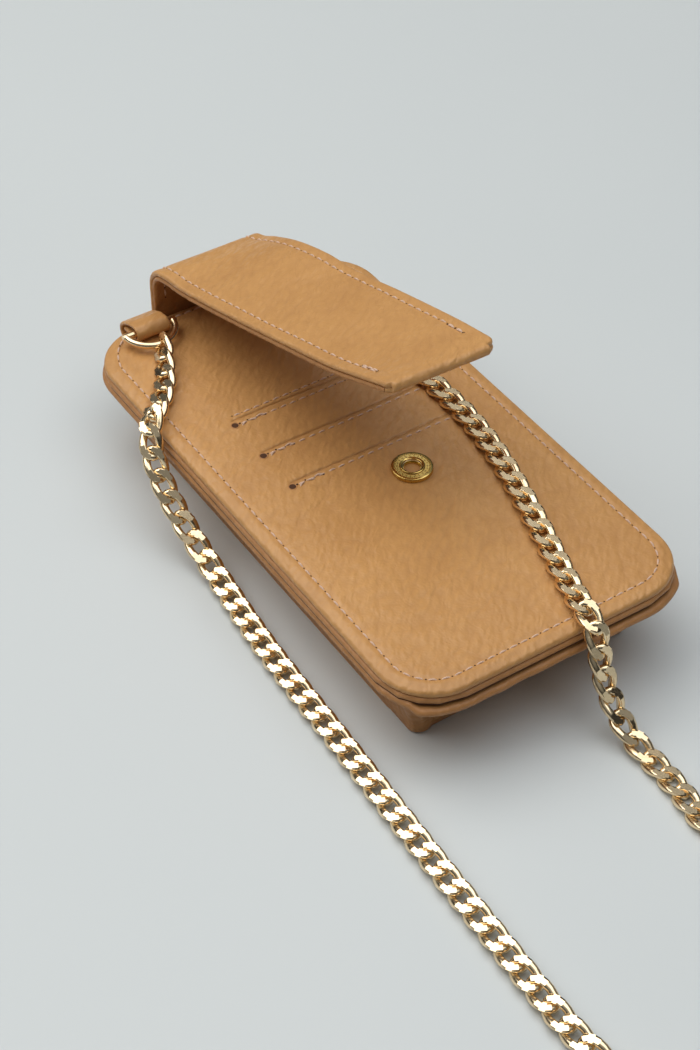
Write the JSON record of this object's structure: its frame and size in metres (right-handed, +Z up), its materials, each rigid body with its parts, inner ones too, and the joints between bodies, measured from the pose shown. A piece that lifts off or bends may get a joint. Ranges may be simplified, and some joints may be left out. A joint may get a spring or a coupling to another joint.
{
  "type": "chain wallet",
  "caption": "Long leather card and phone pouch with stitched card slots, a two-layer snap flap on a folding strap, and a flat curb chain held by two rings in leather tabs.",
  "frame": {"origin": "on the resting face of the back, below the middle of the front panel", "axes": "+X across the wallet, +Y along it towards the flap end, +Z up out of the front face"},
  "size_m": [0.1239, 0.386, 0.0826],
  "materials": {
    "leather_outer": "tan milled leather with a soft pebbled grain and a low sheen",
    "leather_edge": "the same tan leather on linings and turned edges",
    "pocket_lining": "thin skived leather, matt",
    "snap_brass": "polished yellow brass with a milled rim",
    "spring_wire": "plain spring wire",
    "gold_metal": "pale gold plating, polished, with flat cut faces",
    "thread": "twisted pinkish beige thread"
  },
  "bodies": {
    "pouch": {"front_panel": "leather_outer", "front_lining": "leather_edge", "card_pocket_upper": "pocket_lining", "card_pocket_middle": "pocket_lining", "card_pocket_lower": "pocket_lining", "gusset": "leather_edge", "back_panel": "leather_outer", "back_lining": "leather_edge", "flap_anchor": "leather_edge", "snap_socket": "snap_brass", "snap_spring": "spring_wire", "snap_eyelet": "snap_brass", "ring_tab_left": "leather_outer", "ring_tab_right": "leather_outer", "chain_left": "gold_metal", "chain_right": "gold_metal", "chain_coil": "gold_metal"},
    "flap_base": {"flap_riser_outer": "leather_outer", "flap_riser_lining": "leather_edge"},
    "flap": {"flap_outer": "leather_outer", "flap_lining": "leather_edge", "snap_stud": "snap_brass", "stud_washer": "snap_brass"},
    "ring_left": {"ring_left": "gold_metal", "end_link_left": "gold_metal"},
    "ring_right": {"ring_right": "gold_metal", "end_link_right": "gold_metal"}
  },
  "joints": [
    {"name": "flap_base_hinge", "type": "hinge", "parent": "pouch", "child": "flap_base", "pos_m": [0, 0.0963, 0.0034], "axis": [-1, 0, 0], "range_deg": [0, 85]},
    {"name": "flap_fold_hinge", "type": "hinge", "parent": "flap_base", "child": "flap", "pos_m": [0, 0.0963, 0.0487], "axis": [-1, 0, 0], "range_deg": [-20.6, 78]},
    {"name": "ring_left_swivel", "type": "hinge", "parent": "pouch", "child": "ring_left", "pos_m": [-0.0299, 0.0863, 0.0354], "axis": [-1, 0, 0], "range_deg": [0, 90]},
    {"name": "ring_right_swivel", "type": "hinge", "parent": "pouch", "child": "ring_right", "pos_m": [0.0299, 0.0863, 0.0354], "axis": [-1, 0, 0], "range_deg": [0, 90]}
  ]
}
